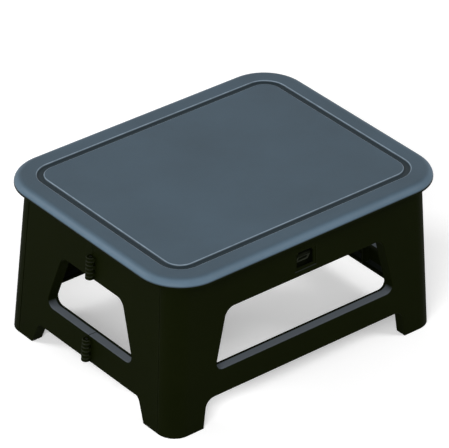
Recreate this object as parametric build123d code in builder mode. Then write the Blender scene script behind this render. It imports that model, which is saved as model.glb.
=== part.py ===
"""Folding step stool: lidded seat frame on two wrap-round leg panels and two folding ends.

Frame: origin on the ground under the middle of the stool, +X along the length,
+Y towards the rear (hinge) side, +Z up.  Millimetres.
"""

import math
import os

from build123d import *

os.makedirs("parts", exist_ok=True)

# ---------------------------------------------------------------- driving dimensions
overall_length = 400
overall_depth = 314
overall_height = 202

# How far the lid reaches past the feet, and how far every side leans inwards on its way up
end_overhang = 7
side_overhang = 7.5
splay_angle = 3.15

# Moulded walls
wall = 3
flange_depth = 14
rib_thickness = 2.4
corner_radius = 23
wrap_flat = 1
edge_gap = 0.6

# Lid
lid_corner_radius = 53
lid_rim_height = 10
lid_roll_radius = 6.5
lid_plate = 3.2
lid_wall = 4.2
groove_inset = 29.3
groove_width = 6.5
groove_depth = 1.5
groove_corner_radius = 26
lid_rib_depth = 2.4
lid_ribs_across = 3
lid_ribs_along = 2

# Seat frame
seat_inset = 8
seat_thickness = 6
seat_skin = 3
seat_opening_length = 236
seat_opening_depth = 196
seat_bead_width = 7
seat_bead_rise = 2.4
seat_skirt_drop = 8
seat_edge_bevel = 1.2
seat_ribs_across = 4
seat_ribs_along = 3

# Front and rear panel outline: heights, and how far each edge lies from the end of the foot
side_window_bottom = 66
side_window_top_drop = 47
side_window_bottom_leg = 63.5
side_window_top_leg = 81.5
side_arch_top = 35
side_arch_top_leg = 51
side_arch_ground_leg = 46
side_window_low_radius = 9
side_window_high_radius = 13
side_arch_radius = 12

# End panels, each in two leaves, measured in the same way
end_window_bottom = 61.5
end_window_top_drop = 52
end_window_bottom_leg = 71.5
end_window_top_leg = 96
end_arch_top = 29
end_arch_top_leg = 60
end_arch_ground_leg = 48.5
end_window_low_radius = 9
end_window_high_radius = 13
end_arch_radius = 8
leaf_top_drop = 1
leaf_seam = 0.8

# Corner hinges, hidden inside the wrap of the front and rear panels
corner_axis_from_panel = 18
corner_axis_from_end = 11
corner_barrel_radius = 4.5
corner_pin_radius = 1.75
corner_lug_height = 8
corner_barrel_height = 14
corner_low_hinge = 30
corner_high_hinge_drop = 14
open_pivot_clearance = 0.25

# Middle hinges of the ends, standing proud of the outer face
mid_axis_from_end = 3
mid_ring_radius = 5
mid_ring_pitch = 4.7
mid_ring_count = 6
mid_pin_radius = 1.6
mid_low_hinge = 29.5
mid_high_hinge_drop = 51
mid_relief = 0.6

# Seat hinge on the rear panel
seat_hinge_from_end = 90
seat_hinge_drop = 9
seat_hinge_from_face = 3.8
seat_lug_width = 16
seat_lug_radius = 4.2
seat_knuckle_width = 8
seat_knuckle_radius = 4
seat_pin_radius = 2

# Lid hinge on the seat frame
lid_hinge_from_end = 70
lid_hinge_from_edge = 3.2
lid_hinge_drop = 3
lid_lug_width = 14
lid_knuckle_width = 9
lid_barrel_radius = 2.7
lid_pin_radius = 1.25

# Latch
latch_frame_width = 30
latch_frame_height = 23
latch_frame_top_drop = 17
latch_frame_recess = 1.2
latch_step = 3
latch_skin = 1
tongue_width = 34
tongue_thickness = 2.4
tongue_bottom_drop = 42.5
tongue_behind_wall = 3.8
tongue_pivot_drop = 5
tongue_tooth_width = 18
tongue_tooth_top_drop = 22.5
tongue_tooth_rise = 3
tongue_tooth_height = 12
tongue_tooth_inside = 3
trunnion_radius = 2
trunnion_length = 4
latch_ear_radius = 3.4

# Ribs behind the panels
leg_rib_heights = (18, 80, 112)
rail_rib_positions = (32, 96)
apron_rib_positions = (56, 148)
leaf_apron_rib = 44
leaf_rail_rib = 40
leaf_leg_rib_heights = (12, 66, 98)

# Fits
pin_clearance = 0.05
axial_gap = 0.4
lug_relief = 0.8
top_edge_gap = 0.25

# ---------------------------------------------------------------- derived places
splay = math.tan(math.radians(splay_angle))
lean_cos = math.cos(math.radians(splay_angle))
lean_sin = math.sin(math.radians(splay_angle))
body_top = overall_height - lid_rim_height - seat_thickness
seat_top = body_top + seat_thickness
side_window_top = body_top - side_window_top_drop
end_window_top = body_top - end_window_top_drop
corner_high_hinge = body_top - corner_high_hinge_drop
mid_hinge_heights = (mid_low_hinge, body_top - mid_high_hinge_drop)
latch_frame_top = body_top - latch_frame_top_drop
latch_frame_bottom = latch_frame_top - latch_frame_height
tongue_bottom = body_top - tongue_bottom_drop
tongue_tooth_top = body_top - tongue_tooth_top_drop
half_length = overall_length / 2 - end_overhang
half_depth = overall_depth / 2 - side_overhang
stance_length = 2 * half_length
stance_depth = 2 * half_depth
side_window_low_half = half_length - side_window_bottom_leg
side_window_high_half = half_length - side_window_top_leg
side_arch_high_half = half_length - side_arch_top_leg
side_arch_ground_half = half_length - side_arch_ground_leg
end_window_low_half = half_depth - end_window_bottom_leg
end_window_high_half = half_depth - end_window_top_leg
end_arch_high_half = half_depth - end_arch_top_leg
end_arch_ground_half = half_depth - end_arch_ground_leg
inset_at_top = splay * body_top
half_length_top = half_length - inset_at_top
half_depth_top = half_depth - inset_at_top
wrap_return = corner_radius + wrap_flat
corner_axis_y = half_depth_top - corner_axis_from_panel
seat_axis_y = half_depth_top - seat_hinge_from_face
seat_axis_z = body_top - seat_hinge_drop
lid_axis_y = overall_depth / 2 - lid_hinge_from_edge
lid_axis_z = seat_top - lid_hinge_drop
tongue_axis_y = -(half_depth_top - wall - tongue_behind_wall)
tongue_axis_z = body_top - tongue_pivot_drop
seat_hinge_x = overall_length / 2 - seat_hinge_from_end
lid_hinge_x = overall_length / 2 - lid_hinge_from_end
mid_stack = mid_ring_count * mid_ring_pitch

# Each corner hinge stacks a lug of the panel and a barrel of the leaf, with the lugs outermost
corner_stack = corner_lug_height + axial_gap + corner_barrel_height
corner_pin_bases = (corner_low_hinge, corner_high_hinge - corner_stack)
corner_lug_bases = (corner_low_hinge, corner_high_hinge - corner_lug_height)
corner_barrel_bases = (
    corner_low_hinge + corner_lug_height + axial_gap,
    corner_high_hinge - corner_stack,
)

FRONT, REAR = -1, 1
LEFT, RIGHT = -1, 1


def panel_face(side):
    """Outer face of the front or rear panel: local x along the length, local y up the face."""
    return Plane(origin=(0, side * half_depth, 0), x_dir=(-side, 0, 0), z_dir=(0, side, splay))


def leaf_face(end, side):
    """Outer face of an end, seen so that local x runs from the seam to the leaf's own corner."""
    return Plane(
        origin=(end * half_length, 0, 0),
        x_dir=(0, side, 0),
        z_dir=(side, 0, side * end * splay),
    )


def hinge_plane(end, y, inward, height):
    """Plane square to the leaning hinge axes of one end, with local x pointing inwards."""
    return Plane(
        origin=(
            end * half_length - end * (inward * lean_cos + height * lean_sin),
            y,
            height * lean_cos - inward * lean_sin,
        ),
        x_dir=(-end * lean_cos, 0, -lean_sin),
        z_dir=(-end * lean_sin, 0, lean_cos),
    )


def depth_at(height):
    """Distance of the front and rear faces from the middle at a height above the ground."""
    return half_depth - splay * height


def leg_inner(height):
    """Inner edge of a front or rear leg at a height, where its ribs start."""
    if height < side_arch_top:
        return side_arch_ground_half
    share = (height - side_window_bottom) / (side_window_top - side_window_bottom)
    return side_window_low_half + (side_window_high_half - side_window_low_half) * share


# ---------------------------------------------------------------- outlines
with BuildSketch() as side_window:
    with BuildLine():
        FilletPolyline(
            (-side_window_low_half, side_window_bottom),
            (side_window_low_half, side_window_bottom),
            (side_window_high_half, side_window_top),
            (-side_window_high_half, side_window_top),
            radius=[
                side_window_low_radius,
                side_window_low_radius,
                side_window_high_radius,
                side_window_high_radius,
            ],
            close=True,
        )
    make_face()

with BuildSketch() as side_arch:
    with BuildLine():
        FilletPolyline(
            (-side_arch_ground_half, -flange_depth),
            (side_arch_ground_half, -flange_depth),
            (side_arch_ground_half, 0),
            (side_arch_high_half, side_arch_top),
            (-side_arch_high_half, side_arch_top),
            (-side_arch_ground_half, 0),
            radius=[0, 0, 0, side_arch_radius, side_arch_radius, 0],
            close=True,
        )
    make_face()

with BuildSketch() as side_window_band:
    add(side_window.sketch)
    offset(amount=wall, mode=Mode.REPLACE)
    add(side_window.sketch, mode=Mode.SUBTRACT)

with BuildSketch() as side_arch_band:
    add(side_arch.sketch)
    offset(amount=wall, mode=Mode.REPLACE)
    add(side_arch.sketch, mode=Mode.SUBTRACT)

leaf_top = body_top - leaf_top_drop
leaf_edge_top = depth_at(leaf_top) - wrap_return - edge_gap
leaf_edge_ground = half_depth - wrap_return - edge_gap
seam = leaf_seam / 2

with BuildSketch() as leaf_outline:
    with BuildLine():
        FilletPolyline(
            (seam, leaf_top / lean_cos),
            (leaf_edge_top, leaf_top / lean_cos),
            (leaf_edge_ground, 0),
            (end_arch_ground_half, 0),
            (end_arch_high_half, end_arch_top),
            (seam, end_arch_top),
            (seam, end_window_bottom),
            (end_window_low_half, end_window_bottom),
            (end_window_high_half, end_window_top),
            (seam, end_window_top),
            radius=[0, 0, 0, 0, end_arch_radius, 0, 0, end_window_low_radius, end_window_high_radius, 0],
            close=True,
        )
    make_face()

with BuildSketch() as leaf_pocket:
    add(leaf_outline.sketch)
    offset(amount=-wall, mode=Mode.REPLACE)


# ---------------------------------------------------------------- leg panels
def leaning_block(inset, radius):
    """The stool's body as a solid whose four sides lean inwards, with rounded corners."""
    with BuildPart() as block:
        with BuildSketch(Plane.XY):
            Rectangle(stance_length - 2 * inset, stance_depth - 2 * inset)
        extrude(amount=body_top, taper=splay_angle)
        corners = block.edges().filter_by(lambda edge: edge.bounding_box().size.Z > wall)
        fillet(corners, radius=radius)
    return block.part


body_outside = leaning_block(0, corner_radius)
body_inside = leaning_block(wall / lean_cos, corner_radius - wall)


def leg_panel(side):
    """One wrap-round panel: leaning skin, flanged window and arch, ribs and hinge lugs."""
    face = panel_face(side)
    ledge_y = side * (half_depth_top - flange_depth / 2)
    with BuildPart() as hollow:
        add(body_inside)
        with BuildSketch(face):
            add(side_window_band.sketch)
            add(side_arch_band.sketch)
            for mirror_side in (-1, 1):
                for height in leg_rib_heights:
                    rib_start = leg_inner(height)
                    rib_end = half_length - splay * height - corner_radius
                    with Locations((mirror_side * (rib_start + rib_end) / 2, height)):
                        Rectangle(rib_end - rib_start, rib_thickness)
                for place in rail_rib_positions:
                    with Locations((mirror_side * place, (side_arch_top + side_window_bottom) / 2)):
                        Rectangle(rib_thickness, side_window_bottom - side_arch_top)
                for place in apron_rib_positions:
                    with Locations((mirror_side * place, (side_window_top + body_top) / 2)):
                        Rectangle(rib_thickness, body_top - side_window_top)
        extrude(amount=-flange_depth, mode=Mode.SUBTRACT)
        with BuildSketch(Plane.XY.offset(body_top - wall)):
            with Locations((0, ledge_y)):
                Rectangle(2 * (half_length_top - corner_radius), flange_depth)
        extrude(amount=wall, mode=Mode.SUBTRACT)

    with BuildPart() as panel:
        add(body_outside)
        add(hollow.part, mode=Mode.SUBTRACT)
        split(
            bisect_by=Plane(origin=(0, side * (half_depth - wrap_return), 0), z_dir=(0, side, splay)),
            keep=Keep.TOP,
        )
        with BuildSketch(face):
            add(side_window.sketch)
            add(side_arch.sketch)
        extrude(amount=-2 * flange_depth, mode=Mode.SUBTRACT)
        for end in (LEFT, RIGHT):
            for base in corner_lug_bases:
                with BuildSketch(
                    hinge_plane(end, side * corner_axis_y, corner_axis_from_end, base)
                ):
                    corner_lug(-end * side, base)
                    Circle(corner_pin_radius + pin_clearance, mode=Mode.SUBTRACT)
                extrude(amount=corner_lug_height)
    return panel.part


def corner_lug(toward, height):
    """Profile of a hinge lug: an eye on the axis and an arm that ends inside the curved wall."""
    middle = corner_radius - wall / 2
    arm = []
    for offset_x in (corner_barrel_radius, -corner_barrel_radius):
        across = corner_radius - corner_axis_from_end - offset_x
        from_face = corner_radius - math.sqrt(middle**2 - across**2)
        reach = depth_at(height + corner_lug_height) - from_face - corner_axis_y
        arm.append((offset_x, toward * reach))
    Circle(corner_barrel_radius)
    Polygon((-corner_barrel_radius, 0), (corner_barrel_radius, 0), *arm, align=None)


front_shell = leg_panel(FRONT)
rear_shell = leg_panel(REAR)

latch_middle = (latch_frame_bottom + latch_frame_top) / 2
latch_height = latch_frame_top - latch_frame_bottom

with BuildPart() as front_panel:
    add(front_shell)
    front_face = panel_face(FRONT)
    with BuildSketch(front_face):
        with Locations((0, latch_middle)):
            Rectangle(latch_frame_width, latch_height)
    extrude(amount=-latch_frame_recess, mode=Mode.SUBTRACT)
    with BuildSketch(front_face):
        with Locations((0, latch_middle)):
            Rectangle(latch_frame_width - 2 * latch_step, latch_height - 2 * latch_step)
    extrude(amount=-2 * wall, mode=Mode.SUBTRACT)
    # Slot that lets the tooth down behind the thin skin over the window
    with BuildSketch(front_face.offset(-latch_skin)):
        with Locations((0, (latch_frame_top - latch_step + body_top) / 2 + wall / 2)):
            Rectangle(
                tongue_tooth_width + 2 * lug_relief, body_top - latch_frame_top + latch_step + wall
            )
    extrude(amount=-2 * wall, mode=Mode.SUBTRACT)
    # Gap in the top ledge for the tongue and its ears
    with BuildSketch(Plane.XY.offset(body_top - 2 * wall)):
        with Locations((0, -(half_depth_top - wall - flange_depth / 2))):
            Rectangle(tongue_width + 2 * (trunnion_length + 2 * lug_relief), flange_depth)
    extrude(amount=3 * wall, mode=Mode.SUBTRACT)

sweep_radius = seat_hinge_drop - top_edge_gap
sweep_edge = math.sqrt(sweep_radius**2 - seat_hinge_from_face**2)

with BuildPart() as rear_panel:
    add(rear_shell)
    # Bevelled top edge that the turning seat frame clears
    with BuildSketch(Plane.YZ.offset(-half_length)):
        with Locations((seat_axis_y, seat_axis_z)):
            Polygon(
                (0, sweep_radius),
                (seat_hinge_from_face, sweep_edge),
                (seat_hinge_from_face + wall, sweep_edge),
                (seat_hinge_from_face + wall, seat_hinge_drop + wall),
                (0, seat_hinge_drop + wall),
                align=None,
            )
    extrude(amount=stance_length, mode=Mode.SUBTRACT)
    for end in (LEFT, RIGHT):
        station = end * seat_hinge_x
        knuckle_reach = seat_lug_width / 2 + axial_gap
        for way in (-1, 1):
            near = station + way * knuckle_reach
            far = near + way * seat_knuckle_width
            with BuildSketch(Plane.YZ.offset(min(near, far))):
                with Locations((seat_axis_y, seat_axis_z)):
                    Circle(seat_knuckle_radius)
                with BuildLine():
                    Polyline(
                        (seat_axis_y - seat_knuckle_radius, seat_axis_z),
                        (seat_axis_y + seat_knuckle_radius - wall / 2, seat_axis_z),
                        (depth_at(body_top) - wall / 2, body_top - wall),
                        (seat_axis_y - seat_knuckle_radius, body_top - wall),
                        close=True,
                    )
                make_face()
            extrude(amount=seat_knuckle_width)
        with BuildSketch(Plane.YZ.offset(station - knuckle_reach)):
            with Locations((seat_axis_y + flange_depth / 2 - seat_lug_radius - lug_relief, body_top)):
                Rectangle(flange_depth, 2 * (seat_hinge_drop + seat_lug_radius + lug_relief))
        extrude(amount=2 * knuckle_reach, mode=Mode.SUBTRACT)
        with BuildSketch(Plane.YZ.offset(station - knuckle_reach - seat_knuckle_width)):
            with Locations((seat_axis_y, seat_axis_z)):
                Circle(seat_pin_radius + pin_clearance)
        extrude(amount=2 * (knuckle_reach + seat_knuckle_width), mode=Mode.SUBTRACT)


# ---------------------------------------------------------------- folding ends
def end_leaf(end, side):
    """Half of an end: a flanged tray with a barrel at its corner and rings at the seam."""
    face = leaf_face(end, side)
    inward = -end * side
    with BuildPart() as leaf:
        with BuildSketch(face):
            add(leaf_outline.sketch)
        extrude(amount=inward * flange_depth)
        with BuildSketch(face.offset(inward * wall)):
            add(leaf_pocket.sketch)
            for height in leaf_leg_rib_heights:
                rib_width = 2 * flange_depth + corner_radius
                with Locations((leaf_edge_ground - rib_width / 2, height)):
                    Rectangle(rib_width, rib_thickness, mode=Mode.SUBTRACT)
            with Locations((leaf_apron_rib, (end_window_top + leaf_top) / 2)):
                Rectangle(rib_thickness, leaf_top - end_window_top, mode=Mode.SUBTRACT)
            with Locations((leaf_rail_rib, (end_arch_top + end_window_bottom) / 2)):
                Rectangle(rib_thickness, end_window_bottom - end_arch_top, mode=Mode.SUBTRACT)
        extrude(amount=inward * flange_depth, mode=Mode.SUBTRACT)

        # Reliefs at the seam that the middle hinge turns in
        relief = math.sqrt(mid_ring_radius**2 - mid_axis_from_end**2) + mid_relief
        web_reach = mid_axis_from_end + wall + rib_thickness
        web_width = relief + wall / 2
        for base in mid_hinge_heights:
            with BuildSketch(face):
                with Locations((relief / 2, base + mid_stack / 2)):
                    Rectangle(relief, mid_stack)
            extrude(amount=inward * wall, mode=Mode.SUBTRACT)

        # Middle hinge rings: the rear leaf has the odd ones, the front leaf the even ones
        own = -end * side
        first = 0 if side == REAR else 1
        for base in mid_hinge_heights:
            for ring in range(first, mid_ring_count, 2):
                height = base + ring * mid_ring_pitch + axial_gap / 2
                with BuildSketch(hinge_plane(end, 0, -mid_axis_from_end, height)):
                    Circle(mid_ring_radius)
                    with Locations((web_reach / 2, own * (seam + web_width / 2))):
                        Rectangle(web_reach, web_width)
                extrude(amount=mid_ring_pitch - axial_gap)
            with BuildSketch(hinge_plane(end, 0, -mid_axis_from_end, base)):
                Circle(mid_pin_radius + pin_clearance)
            extrude(amount=mid_stack, mode=Mode.SUBTRACT)

        # Corner hinge: room for the panel's lugs, then the leaf's own barrel
        clearance = pin_clearance
        if (end, side) == (RIGHT, FRONT):
            clearance = open_pivot_clearance
        reach = corner_barrel_radius + lug_relief
        for base in corner_lug_bases:
            low = base - axial_gap
            with BuildSketch(hinge_plane(end, side * corner_axis_y, corner_axis_from_end, low)):
                with Locations((0, own * reach / 2)):
                    Rectangle(2 * reach, 3 * reach)
            extrude(amount=corner_lug_height + 2 * axial_gap, mode=Mode.SUBTRACT)
        for base in corner_barrel_bases:
            with BuildSketch(hinge_plane(end, side * corner_axis_y, corner_axis_from_end, base)):
                Circle(corner_barrel_radius)
                with Locations((0, -own * reach)):
                    Rectangle(2 * corner_pin_radius + wall, 2 * reach)
            extrude(amount=corner_barrel_height)
            with BuildSketch(hinge_plane(end, side * corner_axis_y, corner_axis_from_end, base)):
                Circle(corner_pin_radius + clearance)
            extrude(amount=corner_barrel_height, mode=Mode.SUBTRACT)
        split(bisect_by=Plane.XY, keep=Keep.TOP)
    return leaf.part


leaves = {
    "left_rear_leaf": end_leaf(LEFT, REAR),
    "left_front_leaf": end_leaf(LEFT, FRONT),
    "right_rear_leaf": end_leaf(RIGHT, REAR),
    "right_front_leaf": end_leaf(RIGHT, FRONT),
}


# ---------------------------------------------------------------- hinge pins of the ends
def upright_pins(end, y, inward, bases, radius, length):
    """The lower and upper pin of one leaning hinge axis."""
    with BuildPart() as pins:
        for base in bases:
            with BuildSketch(hinge_plane(end, y, inward, base)):
                Circle(radius)
            extrude(amount=length)
    return pins.part


end_pins = {}
for end, end_name in ((LEFT, "left"), (RIGHT, "right")):
    for side, side_name in ((FRONT, "front"), (REAR, "rear")):
        end_pins[f"{end_name}_{side_name}_corner_pins"] = upright_pins(
            end,
            side * corner_axis_y,
            corner_axis_from_end,
            corner_pin_bases,
            corner_pin_radius,
            corner_stack,
        )
    end_pins[f"{end_name}_middle_pins"] = upright_pins(
        end, 0, -mid_axis_from_end, mid_hinge_heights, mid_pin_radius, mid_stack
    )

# ---------------------------------------------------------------- seat frame
seat_length = overall_length - 2 * seat_inset
seat_depth = overall_depth - 2 * seat_inset
seat_radius = lid_corner_radius - seat_inset

with BuildSketch() as seat_outline:
    RectangleRounded(seat_length, seat_depth, seat_radius)

with BuildSketch() as seat_opening:
    SlotOverall(seat_opening_length, seat_opening_depth)

with BuildSketch() as seat_bead:
    SlotOverall(seat_opening_length + 2 * seat_bead_width, seat_opening_depth + 2 * seat_bead_width)

with BuildSketch() as seat_skirt:
    SlotOverall(seat_opening_length + 2 * wall, seat_opening_depth + 2 * wall)

with BuildSketch() as seat_pockets:
    RectangleRounded(seat_length - 2 * wall, seat_depth - 2 * wall, seat_radius - wall)
    add(seat_bead.sketch, mode=Mode.SUBTRACT)
    with GridLocations(seat_length / (seat_ribs_across + 1), seat_depth, seat_ribs_across, 1):
        Rectangle(rib_thickness, seat_depth, mode=Mode.SUBTRACT)
    with GridLocations(seat_length, seat_depth / (seat_ribs_along + 1), 1, seat_ribs_along):
        Rectangle(seat_length, rib_thickness, mode=Mode.SUBTRACT)
    for end in (LEFT, RIGHT):
        with Locations((end * seat_hinge_x, seat_axis_y)):
            Rectangle(seat_lug_width, 2 * flange_depth, mode=Mode.SUBTRACT)
    with Locations((0, tongue_axis_y)):
        Rectangle(tongue_width + 4 * trunnion_length, flange_depth, mode=Mode.SUBTRACT)

with BuildPart() as seat_frame:
    with BuildSketch(Plane.XY.offset(body_top)):
        add(seat_outline.sketch)
    extrude(amount=seat_thickness)
    chamfer(seat_frame.edges().group_by(Axis.Z)[-1], length=seat_edge_bevel)
    with BuildSketch(Plane.XY.offset(body_top)):
        add(seat_pockets.sketch)
    extrude(amount=seat_thickness - seat_skin, mode=Mode.SUBTRACT)
    with BuildSketch(Plane.XY.offset(body_top)):
        add(seat_bead.sketch)
    extrude(amount=seat_thickness + seat_bead_rise)
    chamfer(seat_frame.edges().group_by(Axis.Z)[-1], length=seat_edge_bevel)
    with BuildSketch(Plane.XY.offset(body_top - seat_skirt_drop)):
        add(seat_skirt.sketch)
    extrude(amount=seat_skirt_drop)
    with BuildSketch(Plane.XY.offset(body_top - seat_skirt_drop)):
        add(seat_opening.sketch)
    extrude(amount=seat_skirt_drop + seat_thickness + seat_bead_rise, mode=Mode.SUBTRACT)

    # Lugs on the rear panel's pins
    for end in (LEFT, RIGHT):
        with BuildSketch(Plane.YZ.offset(end * seat_hinge_x - seat_lug_width / 2)):
            with Locations((seat_axis_y, seat_axis_z)):
                Circle(seat_lug_radius)
            with Locations((seat_axis_y, (seat_axis_z + body_top) / 2)):
                Rectangle(2 * seat_lug_radius, seat_hinge_drop)
            with Locations((seat_axis_y, seat_axis_z)):
                Circle(seat_pin_radius + pin_clearance, mode=Mode.SUBTRACT)
        extrude(amount=seat_lug_width)

    # Knuckles that carry the lid
    for end in (LEFT, RIGHT):
        for way in (-1, 1):
            middle = end * lid_hinge_x
            middle += way * (lid_lug_width / 2 + axial_gap + lid_knuckle_width / 2)
            with BuildSketch(Plane.YZ.offset(middle - lid_knuckle_width / 2)):
                with Locations((lid_axis_y, lid_axis_z)):
                    Circle(lid_barrel_radius)
                with Locations(((lid_axis_y + seat_depth / 2) / 2 - wall / 2, lid_axis_z)):
                    Rectangle(lid_axis_y - seat_depth / 2 + wall, 2 * lid_barrel_radius)
                with Locations((lid_axis_y, lid_axis_z)):
                    Circle(lid_pin_radius + pin_clearance, mode=Mode.SUBTRACT)
            extrude(amount=lid_knuckle_width)

    # Ears that hold the latch tongue
    for way in (-1, 1):
        middle = way * (tongue_width / 2 + axial_gap + trunnion_length / 2)
        with BuildSketch(Plane.YZ.offset(middle - trunnion_length / 2)):
            with Locations((tongue_axis_y, tongue_axis_z)):
                Circle(latch_ear_radius)
            with Locations((tongue_axis_y, (tongue_axis_z + body_top) / 2)):
                Rectangle(2 * latch_ear_radius, tongue_pivot_drop)
            with Locations((tongue_axis_y, tongue_axis_z)):
                Circle(trunnion_radius + pin_clearance, mode=Mode.SUBTRACT)
        extrude(amount=trunnion_length)

# ---------------------------------------------------------------- latch tongue
tooth_tip_y = -(depth_at(tongue_tooth_top) - tongue_tooth_inside)
tongue_front_y = tongue_axis_y - tongue_thickness / 2

with BuildPart() as latch_tongue:
    with BuildSketch(Plane.YZ.offset(-tongue_width / 2)):
        with Locations((tongue_axis_y, tongue_axis_z)):
            Circle(trunnion_radius)
        with Locations((tongue_axis_y, (tongue_axis_z + tongue_bottom) / 2)):
            Rectangle(tongue_thickness, tongue_axis_z - tongue_bottom)
    extrude(amount=tongue_width)
    with BuildSketch(Plane.YZ.offset(-tongue_tooth_width / 2)):
        with BuildLine():
            Polyline(
                (tongue_axis_y, tongue_tooth_top - tongue_tooth_height),
                (tongue_front_y, tongue_tooth_top - tongue_tooth_height),
                (tooth_tip_y, tongue_tooth_top - tongue_tooth_rise),
                (tooth_tip_y, tongue_tooth_top),
                (tongue_axis_y, tongue_tooth_top),
                close=True,
            )
        make_face()
    extrude(amount=tongue_tooth_width)
    with BuildSketch(Plane.YZ.offset(-tongue_width / 2 - trunnion_length)):
        with Locations((tongue_axis_y, tongue_axis_z)):
            Circle(trunnion_radius)
    extrude(amount=tongue_width + 2 * trunnion_length)

# ---------------------------------------------------------------- lid
groove_length = overall_length - 2 * groove_inset
groove_across = overall_depth - 2 * groove_inset
lid_underside = overall_height - lid_plate

with BuildSketch() as lid_ribs:
    RectangleRounded(seat_length - 2 * wall, seat_depth - 2 * wall, seat_radius - wall)
    RectangleRounded(
        seat_length - 4 * wall, seat_depth - 4 * wall, seat_radius - 2 * wall, mode=Mode.SUBTRACT
    )

with BuildSketch() as lid_stiffeners:
    RectangleRounded(groove_length + groove_width, groove_across + groove_width, groove_corner_radius)
    RectangleRounded(
        groove_length - groove_width,
        groove_across - groove_width,
        groove_corner_radius - groove_width,
        mode=Mode.SUBTRACT,
    )
    with GridLocations(groove_length / (lid_ribs_across + 1), groove_across, lid_ribs_across, 1):
        Rectangle(rib_thickness, groove_across)
    with GridLocations(groove_length, groove_across / (lid_ribs_along + 1), 1, lid_ribs_along):
        Rectangle(groove_length, rib_thickness)

with BuildPart() as lid:
    with BuildSketch(Plane.XY.offset(seat_top)):
        RectangleRounded(overall_length, overall_depth, lid_corner_radius)
    extrude(amount=lid_rim_height)
    fillet(lid.edges().group_by(Axis.Z)[-1], radius=lid_roll_radius)
    with BuildSketch(Plane.XY.offset(seat_top)):
        RectangleRounded(
            overall_length - 2 * lid_wall, overall_depth - 2 * lid_wall, lid_corner_radius - lid_wall
        )
    extrude(amount=lid_rim_height - lid_plate, mode=Mode.SUBTRACT)
    with BuildSketch(Plane.XY.offset(seat_top)):
        add(lid_ribs.sketch)
    extrude(amount=lid_rim_height - lid_plate)
    with BuildSketch(Plane.XY.offset(lid_underside - lid_rib_depth)):
        add(lid_stiffeners.sketch)
    extrude(amount=lid_rib_depth)
    with BuildSketch(Plane.XY.offset(overall_height)):
        RectangleRounded(
            groove_length + groove_width,
            groove_across + groove_width,
            groove_corner_radius + groove_width / 2,
        )
        RectangleRounded(
            groove_length - groove_width,
            groove_across - groove_width,
            groove_corner_radius - groove_width / 2,
            mode=Mode.SUBTRACT,
        )
    extrude(amount=-groove_depth, mode=Mode.SUBTRACT)
    for end in (LEFT, RIGHT):
        with BuildSketch(Plane.YZ.offset(end * lid_hinge_x - lid_lug_width / 2)):
            with Locations((lid_axis_y, lid_axis_z)):
                Circle(lid_barrel_radius)
            with Locations((lid_axis_y, (lid_axis_z + seat_top) / 2 + wall / 2)):
                Rectangle(2 * lid_barrel_radius, lid_hinge_drop + wall)
            with Locations((lid_axis_y, lid_axis_z)):
                Circle(lid_pin_radius + pin_clearance, mode=Mode.SUBTRACT)
        extrude(amount=lid_lug_width)

# ---------------------------------------------------------------- pins along the length
with BuildPart() as seat_hinge_pins:
    for end in (LEFT, RIGHT):
        reach = seat_lug_width / 2 + axial_gap + seat_knuckle_width
        with BuildSketch(Plane.YZ.offset(end * seat_hinge_x - reach)):
            with Locations((seat_axis_y, seat_axis_z)):
                Circle(seat_pin_radius)
        extrude(amount=2 * reach)

with BuildPart() as lid_hinge_pins:
    for end in (LEFT, RIGHT):
        reach = lid_lug_width / 2 + axial_gap + lid_knuckle_width
        with BuildSketch(Plane.YZ.offset(end * lid_hinge_x - reach)):
            with Locations((lid_axis_y, lid_axis_z)):
                Circle(lid_pin_radius)
        extrude(amount=2 * reach)

# ---------------------------------------------------------------- export
pieces = {
    "lid": lid.part,
    "seat_frame": seat_frame.part,
    "front_panel": front_panel.part,
    "rear_panel": rear_panel.part,
    "latch_tongue": latch_tongue.part,
    "seat_hinge_pins": seat_hinge_pins.part,
    "lid_hinge_pins": lid_hinge_pins.part,
    **leaves,
    **end_pins,
}
for name, piece in pieces.items():
    piece.label = name
    export_step(piece, f"parts/{name}.step")
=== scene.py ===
import math

import bmesh
import bpy
from mathutils import Matrix, Vector


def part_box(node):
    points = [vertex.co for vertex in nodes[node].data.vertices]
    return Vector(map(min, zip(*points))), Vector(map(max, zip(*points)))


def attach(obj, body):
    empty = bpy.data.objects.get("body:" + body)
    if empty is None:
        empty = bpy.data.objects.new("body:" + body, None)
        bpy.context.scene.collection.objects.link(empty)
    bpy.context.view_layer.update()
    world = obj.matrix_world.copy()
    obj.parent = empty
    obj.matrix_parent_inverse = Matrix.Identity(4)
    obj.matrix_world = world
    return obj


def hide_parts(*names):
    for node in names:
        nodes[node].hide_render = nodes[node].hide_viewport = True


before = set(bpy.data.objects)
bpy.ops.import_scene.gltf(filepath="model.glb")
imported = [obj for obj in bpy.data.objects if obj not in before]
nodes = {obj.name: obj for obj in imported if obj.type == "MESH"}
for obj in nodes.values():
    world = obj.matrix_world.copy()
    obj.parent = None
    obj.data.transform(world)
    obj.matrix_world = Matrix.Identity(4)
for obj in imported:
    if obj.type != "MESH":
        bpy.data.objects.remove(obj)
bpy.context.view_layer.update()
print("frame loaded:", len(nodes), "nodes")

mm = 0.001
perMm = 1000.0
lean = math.radians(3.15)
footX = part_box("rear_panel")[1].x
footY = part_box("rear_panel")[1].y
seatLevel = 0.183
seatHingeLevel = 0.176


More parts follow.
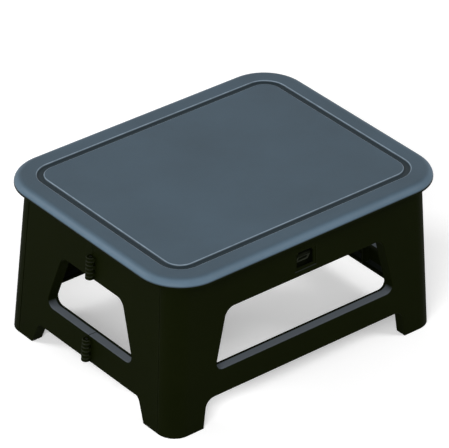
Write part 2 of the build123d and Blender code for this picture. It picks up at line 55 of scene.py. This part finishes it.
# A node's output that takes arithmetic signs
class Value:
    def __init__(self, tree, source):
        self.tree = tree
        self.source = source

    def combine(self, operation, *inputs):
        made = self.tree.nodes.new("ShaderNodeMath")
        made.operation = operation
        for socket, entry in zip(made.inputs, inputs):
            if isinstance(entry, Value):
                self.tree.links.new(entry.source, socket)
            else:
                socket.default_value = entry
        return Value(self.tree, made.outputs[0])

    def __add__(self, other):
        return self.combine("ADD", self, other)

    def __sub__(self, other):
        return self.combine("SUBTRACT", self, other)

    def __rsub__(self, other):
        return self.combine("SUBTRACT", other, self)

    def __mul__(self, other):
        return self.combine("MULTIPLY", self, other)

    def __abs__(self):
        return self.combine("ABSOLUTE", self)

    __radd__ = __add__
    __rmul__ = __mul__

    def orMore(self, other):
        return self.combine("MAXIMUM", self, other)

    def orLess(self, other):
        return self.combine("MINIMUM", self, other)

    def share(self):
        return self.orMore(0.0).orLess(1.0)


# The nodes of a material or of the world, with the shader that they feed
class Graph:
    def __init__(self, owner, shader, constants):
        owner.use_nodes = True
        self.owner = owner
        self.tree = owner.node_tree
        self.shader = self.tree.nodes[shader]
        for socket, value in constants.items():
            self.shader.inputs[socket].default_value = value

    def node(self, kind, output, settings, inputs):
        made = self.tree.nodes.new(kind)
        for key, value in settings.items():
            setattr(made, key, value)
        for key, value in inputs.items():
            if isinstance(value, Value):
                self.tree.links.new(value.source, made.inputs[key])
            else:
                made.inputs[key].default_value = value
        return Value(self.tree, made.outputs[output])

    def mix(self, share, first, second):
        colours = [entry if isinstance(entry, Value) else (*entry, 1.0) for entry in (first, second)]
        inputs = {"Fac": share, "Color1": colours[0], "Color2": colours[1]}
        return self.node("ShaderNodeMixRGB", "Color", {}, inputs)

    def place(self):
        return self.node("ShaderNodeTexCoord", "Object", {}, {})

    def noise(self, place, scale, detail, roughness=0.5):
        inputs = {"Vector": place, "Scale": scale, "Detail": detail, "Roughness": roughness}
        return self.node("ShaderNodeTexNoise", "Fac", {}, inputs)

    def mark(self, name):
        return self.node("ShaderNodeAttribute", "Fac", {"attribute_name": name}, {})

    def bump(self, height, strength, distance):
        inputs = {"Height": height, "Strength": strength, "Distance": distance}
        return self.node("ShaderNodeBump", "Normal", {}, inputs)

    def feed(self, socket, value):
        self.tree.links.new(value.source, self.shader.inputs[socket])


def newMaterial(name, constants):
    return Graph(bpy.data.materials.new(name), "Principled BSDF", constants)


# Full near the outer skin and on the seat, none deep inside the legs, so the painted sheen stays off the
# shaded inside
def nearSkin(graph, place, reach):
    x, y, z = [graph.node("ShaderNodeSeparateXYZ", axis, {}, {"Vector": place}) for axis in "XYZ"]
    inset = z * math.tan(lean)
    fromEnd = footX - inset - abs(x)
    fromSide = footY - inset - abs(y)
    shallow = ((reach * mm - fromEnd.orLess(fromSide)) * perMm).share()
    onSeat = ((z - seatLevel) * perMm).share()
    return (shallow + onSeat).share()


def plasticFinish(look):
    graph = newMaterial(look["name"], {"Specular IOR Level": look["specular"], "IOR": 1.49})
    place = graph.place()
    grain = graph.noise(place, look["grainScale"], 3.0)
    cloud = graph.noise(place, 9.0, 2.0)
    rub = graph.noise(place, 70.0, 6.0, 0.7)
    wearAndHighlight, paintedSheen, sunk = [graph.mark(name) for name in ("wearAndHighlight", "paintedSheen", "sunk")]
    if "sheenReach" in look:
        paintedSheen = paintedSheen * nearSkin(graph, place, look["sheenReach"])
    plain = graph.mix((cloud * 0.5 + rub * 0.4).share(), look["dark"], look["light"])
    # A painted sheen: up-facing faces are made paler, as light from above shows them, varied a little by
    # noise
    sheenAmount = paintedSheen * (rub * look["patchy"] + cloud * look["cloudy"] + (0.85 - look["cloudy"] * 0.5))
    sheened = graph.mix(sheenAmount.share(), plain, look["sheenColour"])
    # Edge colour: edge wear together with a painted highlight along rounded edges, knuckle rims and the lid's
    # groove rims
    scuffed = graph.mix((wearAndHighlight * (rub * 1.2 + 0.1)).share(), sheened, look["edge"])
    # Painted shade down in recesses, by the sunk mark; only the lid's groove has it
    graph.feed("Base Color", graph.mix(sunk, scuffed, look["hollow"]))
    graph.feed("Roughness", rub * 0.14 + cloud * 0.06 - wearAndHighlight * 0.05 + look["roughness"])
    graph.feed("Normal", graph.bump(grain * look["grainDepth"] + rub * 0.35, look["bump"], 0.0004))
    return graph.owner


def steelFinish(look):
    graph = newMaterial(look["name"], {"Metallic": 1.0, "Specular IOR Level": 0.5})
    place = graph.place()
    stain = graph.noise(place, 120.0, 4.0)
    graph.feed("Base Color", graph.mix(stain, look["dark"], look["light"]))
    graph.feed("Roughness", stain * 0.2 + 0.25)
    graph.feed("Normal", graph.bump(graph.noise(place, 1400.0, 2.0), 0.2, 0.0002))
    return graph.owner


# Body plastic: black, with a pale blue-grey painted sheen on up-facing faces and a lighter edge colour for
# edge wear and a painted highlight
bodyPlastic = plasticFinish(
    {
        "name": "bodyPlastic",
        "dark": (0.0027, 0.0040, 0.0005),
        "light": (0.0054, 0.0073, 0.0013),
        "edge": (0.0250, 0.0290, 0.0200),
        "sheenColour": (0.0980, 0.1120, 0.1280),
        "hollow": (0.0022, 0.0034, 0.0006),
        "sheenReach": 11.0,
        "patchy": 0.4,
        "cloudy": 0.2,
        "specular": 0.010,
        "roughness": 0.38,
        "grainScale": 1500.0,
        "grainDepth": 0.6,
        "bump": 0.35,
    }
)
# Lid plastic: the bright blue edge colour is a painted highlight, the pale blue-grey a painted sheen and
# highlight, the hollow colour painted shade
lidPlastic = plasticFinish(
    {
        "name": "lidPlastic",
        "dark": (0.0040, 0.0056, 0.0040),
        "light": (0.0080, 0.0110, 0.0110),
        "edge": (0.2600, 0.3300, 0.4000),
        "sheenColour": (0.0850, 0.1320, 0.1770),
        "hollow": (0.0120, 0.0210, 0.0270),
        "patchy": 0.2,
        "cloudy": 0.5,
        "specular": 0.11,
        "roughness": 0.34,
        "grainScale": 1300.0,
        "grainDepth": 0.7,
        "bump": 0.3,
    }
)
# Latch plastic: black, with a grey painted sheen on up-facing faces and a lighter edge colour for edge wear
# and a painted highlight
latchPlastic = plasticFinish(
    {
        "name": "latchPlastic",
        "dark": (0.0020, 0.0028, 0.0010),
        "light": (0.0042, 0.0054, 0.0022),
        "edge": (0.0440, 0.0500, 0.0350),
        "sheenColour": (0.0400, 0.0440, 0.0360),
        "hollow": (0.0018, 0.0022, 0.0010),
        "patchy": 0.4,
        "cloudy": 0.2,
        "specular": 0.02,
        "roughness": 0.34,
        "grainScale": 1800.0,
        "grainDepth": 0.4,
        "bump": 0.2,
    }
)
pinSteel = steelFinish({"name": "pinSteel", "dark": (0.10, 0.10, 0.10), "light": (0.17, 0.17, 0.17)})
print("materials made")


def select(piece):
    bpy.ops.object.select_all(action="DESELECT")
    piece.select_set(True)
    bpy.context.view_layer.objects.active = piece


def smoothed(piece, degrees):
    select(piece)
    bpy.ops.object.shade_smooth_by_angle(angle=math.radians(degrees))
    evening = piece.modifiers.new("evening", "WEIGHTED_NORMAL")
    evening.keep_sharp = True
    evening.weight = 80
    bpy.ops.object.modifier_apply(modifier="evening")


# How far a point lies inside the leaning end face and the leaning long face, in millimetres
def facesFrom(point):
    inset = math.tan(lean) * point.z
    return (footX - inset - abs(point.x)) / mm, (footY - inset - abs(point.y)) / mm


# The outer skin, flat on the faces and bent round the upright corners
skin = {"corner": 23.0, "past": 0.5, "flatSlack": 0.12, "bendSlack": 0.4}


# The rear panel's top stays sharp, where the seat hinge cuts it
def onLongSkin(point):
    fromEnd, fromSide = facesFrom(point)
    if point.y > 0 and point.z > seatHingeLevel:
        return False
    corner = skin["corner"]
    inCorner = max(fromEnd, fromSide) < corner + skin["past"]
    offBend = abs(math.hypot(corner - fromEnd, corner - fromSide) - corner)
    onFlat = min(abs(fromSide), abs(fromEnd)) < skin["flatSlack"]
    return onFlat or (inCorner and offBend < skin["bendSlack"])


# Two columns of knuckles at each end, on an axis outside the end face
knuckles = {
    "across": 0.012,
    "columns": ((0.027, 0.0605), (0.1345, 0.167)),
    "axisOutside": 3.0,
    "radius": 5.0,
    "proud": 1.0,
    "slack": 0.08,
}


def nearKnuckles(point):
    inColumn = any(low < point.z < high for low, high in knuckles["columns"])
    return abs(point.y) < knuckles["across"] and inColumn


def onEndSkin(point):
    return abs(facesFrom(point)[0]) < skin["flatSlack"] and not nearKnuckles(point)


def onKnuckleRim(point):
    outside = -facesFrom(point)[0] * math.cos(lean)
    fromAxis = math.hypot(point.y / mm, outside - knuckles["axisOutside"])
    return outside > knuckles["proud"] and abs(fromAxis - knuckles["radius"]) < knuckles["slack"]


def roundEdges(piece, rounding):
    select(piece)
    bpy.ops.object.mode_set(mode="EDIT")
    bpy.ops.mesh.select_mode(type="EDGE")
    bpy.ops.mesh.select_all(action="DESELECT")
    shape = bmesh.from_edit_mesh(piece.data)
    for edge in shape.edges:
        sharp = edge.is_manifold and edge.calc_face_angle_signed(0.0) > math.radians(38)
        if not sharp or not all(rounding["place"](vertex.co) for vertex in edge.verts):
            continue
        endFace = max(abs(face.normal.z) for face in edge.link_faces) > 0.9
        edge.select = endFace or not rounding["endsOnly"]
    shape.select_flush_mode()
    bmesh.update_edit_mesh(piece.data)
    bpy.ops.mesh.bevel(
        offset=rounding["width"] * mm, segments=2, clamp_overlap=False, miter_outer="ARC"
    )
    bpy.ops.object.mode_set(mode="OBJECT")


def cornerMarks(mesh, *names):
    for name in names:
        mesh.attributes.new(name, "FLOAT", "CORNER")
    return [mesh.attributes[name].data for name in names]


latchPlace = {"half": 0.020, "front": -0.120, "low": 0.130, "high": 0.176}
bodyEdgeWearAndHighlight = {"width": 0.5, "latch": 0.2}
edgeMarkShare = {"upright": 0.2, "level": 0.7}
# Painted sheen shares: little round the latch window and inside the legs, where shade falls, none on faces
# steeper than the steepest share
sheenShare = {"latch": 0.14, "inside": 0.1, "steepest": 0.3}


def nearLatch(point):
    level = latchPlace["low"] < point.z < latchPlace["high"]
    return abs(point.x) < latchPlace["half"] and point.y < latchPlace["front"] and level


# Edge mark share: full on the knuckle rims as a painted highlight, small at the shaded latch window, else
# edge wear with a painted highlight, more on level faces
def wearAndHighlightShare(face, edgeWearAndHighlight):
    if nearKnuckles(face.center):
        return 1.0
    if nearLatch(face.center):
        return edgeWearAndHighlight["latch"]
    return edgeMarkShare["upright"] if abs(face.normal.z) < 0.1 else edgeMarkShare["level"]


# Painted sheen of a face: grows as the face turns up, none on the knuckles, cut back round the latch and on
# the shaded inside
def sheenOfFace(mesh, face):
    if nearKnuckles(face.center):
        return 0.0
    share = sheenShare["latch"] if nearLatch(face.center) else 1.0
    points = [mesh.vertices[index].co for index in face.vertices]
    atSkin = any(abs(min(facesFrom(point))) < 1.0 for point in points)
    if face.center.z < seatLevel and not atSkin:
        share *= sheenShare["inside"]
    return share * max(0.0, face.normal.z - sheenShare["steepest"]) / (1.0 - sheenShare["steepest"])


# Marks the narrow faces that a rounding made with edge wear and a painted highlight, and paints a sheen on
# up-facing faces, as light from above shows them
def markWearHighlightAndSheen(mesh, edgeWearAndHighlight):
    width = edgeWearAndHighlight["width"] * mm
    wearAndHighlight, paintedSheen = cornerMarks(mesh, "wearAndHighlight", "paintedSheen")
    for face in mesh.polygons:
        longest = max((mesh.vertices[a].co - mesh.vertices[b].co).length for a, b in face.edge_keys)
        narrow = face.area < width * max(longest, width)
        edgeMarked = wearAndHighlightShare(face, edgeWearAndHighlight) if narrow else 0.0
        sheenAmount = sheenOfFace(mesh, face)
        for corner in face.loop_indices:
            wearAndHighlight[corner].value = edgeMarked
            paintedSheen[corner].value = sheenAmount


# Sinks a thumb rest in the front of the latch's tooth, inside a raised border
def hollowThumbRest(piece, rest):
    select(piece)
    bpy.ops.object.mode_set(mode="EDIT")
    bpy.ops.mesh.select_mode(type="FACE")
    bpy.ops.mesh.select_all(action="DESELECT")
    shape = bmesh.from_edit_mesh(piece.data)
    for face in shape.faces:
        facing = face.normal.y < -0.5 and face.calc_area() > rest["leastArea"] * mm * mm
        face.select = facing and nearLatch(face.calc_center_median()) and abs(face.normal.z) > 0.2
    bmesh.update_edit_mesh(piece.data)
    bpy.ops.mesh.inset(thickness=rest["border"] * mm)
    bpy.ops.mesh.inset(thickness=rest["side"] * mm, depth=-rest["depth"] * mm)
    bpy.ops.mesh.inset(thickness=rest["grip"] * mm, depth=rest["rise"] * mm)
    bpy.ops.object.mode_set(mode="OBJECT")


# A copy of a CAD node with its outline rounded as a moulding's is
def softened(spec):
    piece = bpy.data.objects.new(spec["name"], nodes[spec["node"]].data.copy())
    bpy.context.scene.collection.objects.link(piece)
    select(piece)
    bpy.ops.object.mode_set(mode="EDIT")
    bpy.ops.mesh.select_all(action="SELECT")
    bpy.ops.mesh.remove_doubles(threshold=0.002 * mm)
    bpy.ops.mesh.dissolve_limited(angle_limit=math.radians(0.4))
    bpy.ops.object.mode_set(mode="OBJECT")
    piece.data.materials.clear()
    piece.data.materials.append(spec["material"])
    for rounding in spec["roundings"]:
        roundEdges(piece, rounding)
    if spec.get("thumbRest"):
        hollowThumbRest(piece, spec["thumbRest"])
    markWearHighlightAndSheen(piece.data, spec.get("edgeWearAndHighlight", bodyEdgeWearAndHighlight))
    smoothed(piece, 33)
    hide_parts(spec["node"])
    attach(piece, spec["node"])
    return piece


longOutline = {"place": onLongSkin, "width": 0.7, "endsOnly": False}
endOutline = {"place": onEndSkin, "width": 0.7, "endsOnly": False}
knuckleRims = {"place": onKnuckleRim, "width": 0.6, "endsOnly": True}
mouldings = [
    {"name": "seatMoulding", "node": "seat_frame", "material": bodyPlastic, "roundings": []},
    {"name": "frontMoulding", "node": "front_panel", "material": bodyPlastic, "roundings": [longOutline]},
    {"name": "rearMoulding", "node": "rear_panel", "material": bodyPlastic, "roundings": [longOutline]},
    {
        "name": "tongueMoulding",
        "node": "latch_tongue",
        "material": latchPlastic,
        "roundings": [],
        "edgeWearAndHighlight": {"width": 1.3, "latch": 0.8},
        "thumbRest": {
            "leastArea": 30.0,
            "border": 1.1,
            "side": 0.3,
            "depth": 1.0,
            "grip": 1.4,
            "rise": 0.6,
        },
    },
]
for end in ("left", "right"):
    for side in ("Rear", "Front"):
        mouldings.append(
            {
                "name": end + side + "Moulding",
                "node": end + "_" + side.lower() + "_leaf",
                "material": bodyPlastic,
                "roundings": [endOutline, knuckleRims],
            }
        )
for spec in mouldings:
    made = softened(spec)
    print(spec["name"], len(made.data.polygons), "faces")

# Lid, from its lip over the rolled rim and the groove to the flat field, as inset and height
lidLow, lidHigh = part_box("lid")
lidTop = lidHigh.z / mm
lidLook = {
    "length": (lidHigh.x - lidLow.x) / mm,
    "depth": -2 * lidLow.y / mm,
    "corner": 53.0,
    "lip": lidTop - 10.0,
    "lidHeight": 10.0,
    "rollAcross": 10.0,
    "rollDrop": 8.6,
    "plate": 3.2,
    "grooveMiddle": 29.3,
    "grooveHalf": ((5.0, 0.0), (4.5, 0.1), (4.1, 0.35), (3.8, 0.75), (3.5, 1.4), (3.1, 1.95), (2.4, 2.2)),
    # Painted light: sheen on the flats, a highlight growing over the roll, shade on the lower lip, a
    # highlight on the groove's rims and shade in its bottom
    "flatSheen": 0.57,
    "rollHighlightDepth": 1.6,
    "shadedLip": 2.8,
    "field": (0.1765, 0.1335),
    "rimHighlight": 0.9,
    "highlightRim": (0.05, 0.8),
    "grooveShadeDepth": (0.3, 2.5),
}


def lidOutside(look):
    lip = look["lip"]
    profile = [(0.0, lip + 0.7)]
    for step in range(15):
        turn = math.pi / 2 * step / 14
        across = look["rollAcross"] * (1 - math.cos(turn))
        profile.append((across, lidTop - look["rollDrop"] * (1 - math.sin(turn))))
    middle = look["grooveMiddle"]
    profile += [(12.0, lidTop), (20.0, lidTop), (23.8, lidTop)]
    profile += [(middle - half, lidTop - drop) for half, drop in look["grooveHalf"]]
    profile += [(middle + half, lidTop - drop) for half, drop in reversed(look["grooveHalf"])]
    profile += [(34.8, lidTop), (48.0, lidTop)]
    return profile


def lidInside(look):
    lip = look["lip"]
    under = lidTop - look["plate"]
    profile = [(0.0, lip + 0.7), (0.2, lip + 0.2), (0.7, lip), (3.6, lip), (4.2, lip + 0.6)]
    profile += [(4.25, under - 1.6), (4.7, under - 0.5), (5.8, under), (10.5, under)]
    profile += [(10.9, under - 0.4), (11.0, lip + 0.3), (11.3, lip), (13.7, lip)]
    profile += [(14.0, lip + 0.3), (14.1, under - 0.4), (14.5, under), (24.2, under)]
    profile += [(24.7, under - 0.3), (25.0, under - 2.2), (25.3, under - 2.4), (33.3, under - 2.4)]
    profile += [(33.6, under - 2.2), (33.9, under - 0.3), (34.4, under), (48.0, under)]
    return profile


# Insets the one selected face again and again along a profile
def insetAlong(profile, way):
    for near, far in zip(profile, profile[1:]):
        bpy.ops.mesh.inset(
            thickness=(far[0] - near[0]) * mm, depth=way * (far[1] - near[1]) * mm, use_even_offset=True
        )


def addBlock(low, high):
    size = [b - a for a, b in zip(low, high)]
    middle = [(a + b) / 2 for a, b in zip(low, high)]
    bpy.ops.mesh.primitive_cube_add(size=1.0, location=middle, scale=size)
    bpy.ops.object.transform_apply(location=True, rotation=True, scale=True)
    return bpy.context.active_object


# A hinge lug of the lid, as a barrel on an arm
lugLook = {"out": 0.130, "back": 0.1538, "level": 0.189, "half": 0.007, "radius": 0.0027, "top": 0.1925}


def addLug(side):
    x, y, z = side * lugLook["out"], lugLook["back"], lugLook["level"]
    half, radius = lugLook["half"], lugLook["radius"]
    bpy.ops.mesh.primitive_cylinder_add(
        vertices=32, radius=radius, depth=2 * half, location=(x, y, z), rotation=(0, math.pi / 2, 0)
    )
    bpy.ops.object.transform_apply(location=True, rotation=True, scale=True)
    barrel = bpy.context.active_object
    arm = addBlock((x - half, y - radius, z), (x + half, y + radius, lugLook["top"]))
    return [barrel, arm]


# Ribs under the lid's plate, crosswise and lengthwise
ribLook = {
    "crosswise": (-85.35, 0.0, 85.35),
    "lengthwise": (-42.55, 42.55),
    "reach": (0.1725, 0.1295),
    "half": 0.0012,
    "drop": 0.0024,
    "sunk": 0.0004,
}


def addRibs(under):
    low, high = under - ribLook["drop"], under + ribLook["sunk"]
    reachX, reachY = ribLook["reach"]
    half = ribLook["half"]
    ribs = []
    for place in ribLook["crosswise"]:
        x = place * mm
        ribs.append(addBlock((x - half, -reachY, low), (x + half, reachY, high)))
    for place in ribLook["lengthwise"]:
        y = place * mm
        ribs.append(addBlock((-reachX, y - half, low), (reachX, y + half, high)))
    return ribs


# Whether a point lies within a millimetre of the lid's outer side
def onLidSide(point, look):
    flatX = look["length"] / 2 - look["corner"]
    flatY = look["depth"] / 2 - look["corner"]
    beyondX = max(0.0, abs(point.x) / mm - flatX)
    beyondY = max(0.0, abs(point.y) / mm - flatY)
    return math.hypot(beyondX, beyondY) > look["corner"] - 1.0


# Painted light on the lid: a painted highlight over the roll, a painted sheen on the flats, painted shade
# down in the groove and on the lower lip, no sheen underneath, and a painted highlight along the groove's
# convex rims
def markLid(mesh, look):
    wearAndHighlight, paintedSheen, sunk = cornerMarks(mesh, "wearAndHighlight", "paintedSheen", "sunk")
    fieldX, fieldY = look["field"]
    rimFrom, rimTo = look["highlightRim"]
    sunkFrom, sunkTo = look["grooveShadeDepth"]
    paleDepth = look["lidHeight"] - look["shadedLip"]
    for face in mesh.polygons:
        inGroove = abs(face.center.x) < fieldX and abs(face.center.y) < fieldY
        lowSide = lidTop - face.center.z / mm > paleDepth
        # The lower lip takes the body's black plastic as painted shade; the lid and its lip are one plastic
        face.material_index = 1 if lowSide and onLidSide(face.center, look) else 0
        for corner in face.loop_indices:
            depth = lidTop - mesh.vertices[mesh.loops[corner].vertex_index].co.z / mm
            rolled = 0.0 if inGroove else min(1.0, depth / look["rollHighlightDepth"])
            pale = look["flatSheen"] + (1.0 - look["flatSheen"]) * rolled
            wearAndHighlight[corner].value = look["rimHighlight"] if inGroove and rimFrom < depth < rimTo else 0.0
            lit = min(1.0, max(0.0, paleDepth - depth))
            paintedSheen[corner].value = pale * lit if face.normal.z > -0.02 else 0.0
            deep = inGroove and depth < sunkTo
            sunk[corner].value = min(1.0, max(0.0, depth - sunkFrom)) if deep else 0.0


def buildLid(look):
    bpy.ops.mesh.primitive_plane_add(size=1.0, location=(0, 0, (look["lip"] + 0.7) * mm))
    piece = bpy.context.active_object
    piece.name = "lidMoulding"
    bpy.ops.transform.resize(value=(look["length"] * mm, look["depth"] * mm, 1.0))
    bpy.ops.object.transform_apply(location=True, rotation=True, scale=True)
    bpy.ops.object.mode_set(mode="EDIT")
    bpy.ops.mesh.select_all(action="SELECT")
    bpy.ops.mesh.bevel(
        offset=look["corner"] * mm, segments=18, affect="VERTICES", clamp_overlap=False
    )
    outside = lidOutside(look)
    bpy.ops.mesh.select_mode(type="FACE")
    bpy.ops.mesh.select_all(action="SELECT")
    bpy.ops.mesh.extrude_region_move(
        TRANSFORM_OT_translate={"value": (0, 0, (outside[1][1] - outside[0][1]) * mm)}
    )
    insetAlong(outside[1:], 1)
    bpy.ops.mesh.select_all(action="DESELECT")
    shape = bmesh.from_edit_mesh(piece.data)
    shape.faces.ensure_lookup_table()
    lowest = min(shape.faces, key=lambda face: face.calc_center_median().z)
    lowest.select = True
    bmesh.update_edit_mesh(piece.data)
    insetAlong(lidInside(look), -1)
    bpy.ops.mesh.select_all(action="SELECT")
    bpy.ops.mesh.normals_make_consistent(inside=False)
    bpy.ops.object.mode_set(mode="OBJECT")
    added = addRibs((lidTop - look["plate"]) * mm)
    for side in (-1, 1):
        added += addLug(side)
    bpy.ops.object.select_all(action="DESELECT")
    for extra in added:
        extra.select_set(True)
    piece.select_set(True)
    bpy.context.view_layer.objects.active = piece
    bpy.ops.object.join()
    piece.data.materials.append(lidPlastic)
    piece.data.materials.append(bodyPlastic)
    markLid(piece.data, look)
    smoothed(piece, 40)
    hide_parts("lid")
    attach(piece, "lid")
    return piece


print("lidMoulding", len(buildLid(lidLook).data.polygons), "faces")

for name, node in nodes.items():
    if name.endswith("_pins"):
        node.data.materials.clear()
        node.data.materials.append(pinSteel)
print("mouldings made")

# Floor, as bright as the background to the camera while it keeps the stool's shadow
stage = {"floor": (0.86, 0.86, 0.86), "lift": 0.34, "sky": 0.3, "near": 0.55, "far": 1.6}


def floorPaint():
    graph = newMaterial("floorPaint", {"Roughness": 0.9, "Specular IOR Level": 0.0, "Emission Strength": 1.0})
    reach = graph.node("ShaderNodeVectorMath", "Value", {"operation": "LENGTH"}, {0: graph.place()})
    seen = graph.node("ShaderNodeLightPath", "Is Camera Ray", {}, {})
    far = seen * ((reach - stage["near"]) * (1.0 / (stage["far"] - stage["near"]))).share()
    lift = seen * stage["lift"] + far * (1.0 - stage["lift"])
    graph.feed("Base Color", graph.mix(far, stage["floor"], (0.0, 0.0, 0.0)))
    graph.feed("Emission Color", graph.mix(lift, (0.0, 0.0, 0.0), (1.0, 1.0, 1.0)))
    return graph.owner


bpy.ops.mesh.primitive_circle_add(vertices=96, radius=9.0, fill_type="NGON", location=(0, 0, 0))
floor = bpy.context.active_object
floor.name = "floor"
floor.data.materials.append(floorPaint())


def softLamp(spec):
    light = bpy.data.lights.new(spec["name"], "AREA")
    light.shape = "RECTANGLE"
    light.size = spec["size"]
    light.size_y = spec["size"]
    light.energy = spec["energy"]
    lamp = bpy.data.objects.new(spec["name"], light)
    bpy.context.scene.collection.objects.link(lamp)
    lamp.location = spec["place"]
    lamp.rotation_euler = (Vector((0, 0, 0.1)) - lamp.location).to_track_quat("-Z", "Y").to_euler()


for spec in (
    {"name": "keyLamp", "place": (-2.6, -1.85, 1.7), "size": 1.6, "energy": 88.0},
    {"name": "rightLamp", "place": (1.7, -1.7, 2.0), "size": 1.0, "energy": 36.0},
    {"name": "leftLamp", "place": (-1.8, 1.9, 1.8), "size": 1.0, "energy": 46.0},
):
    softLamp(spec)

bpy.context.scene.world = bpy.data.worlds.new("studio")
studio = Graph(bpy.context.scene.world, "Background", {"Color": (1.0, 1.0, 1.0, 1.0)})
shown = [
    studio.node("ShaderNodeLightPath", ray, {}, {})
    for ray in ("Is Camera Ray", "Is Glossy Ray", "Is Transmission Ray")
]
white = shown[0].orMore(shown[1]).orMore(shown[2])
studio.feed("Strength", white * (1.0 - stage["sky"]) + stage["sky"])

bpy.context.scene.view_settings.view_transform = "Standard"

cameraLook = {
    "place": (-2170.6, -2575.7, 2260.6),
    "aim": (33.9, 37.9, 100.0),
    "roll": 1.269,
    "focal": 3565.7,
    "across": 449,
    "sensor": 36.0,
}
cameraPlace = Vector(cameraLook["place"]) * mm
aim = Vector(cameraLook["aim"]) * mm
forward = (aim - cameraPlace).normalized()
sideways = forward.cross(Vector((0, 0, 1))).normalized()
upright = sideways.cross(forward)
roll = math.radians(cameraLook["roll"])
right = sideways * math.cos(roll) + upright * math.sin(roll)
up = upright * math.cos(roll) - sideways * math.sin(roll)
camera = bpy.data.objects.new("camera", bpy.data.cameras.new("camera"))
bpy.context.scene.collection.objects.link(camera)
camera.data.sensor_width = cameraLook["sensor"]
camera.data.lens = cameraLook["focal"] / cameraLook["across"] * cameraLook["sensor"]
camera.data.clip_end = 60.0
camera.location = cameraPlace
camera.rotation_euler = Matrix((right, up, -forward)).transposed().to_euler()
bpy.context.scene.camera = camera
print("stage made")
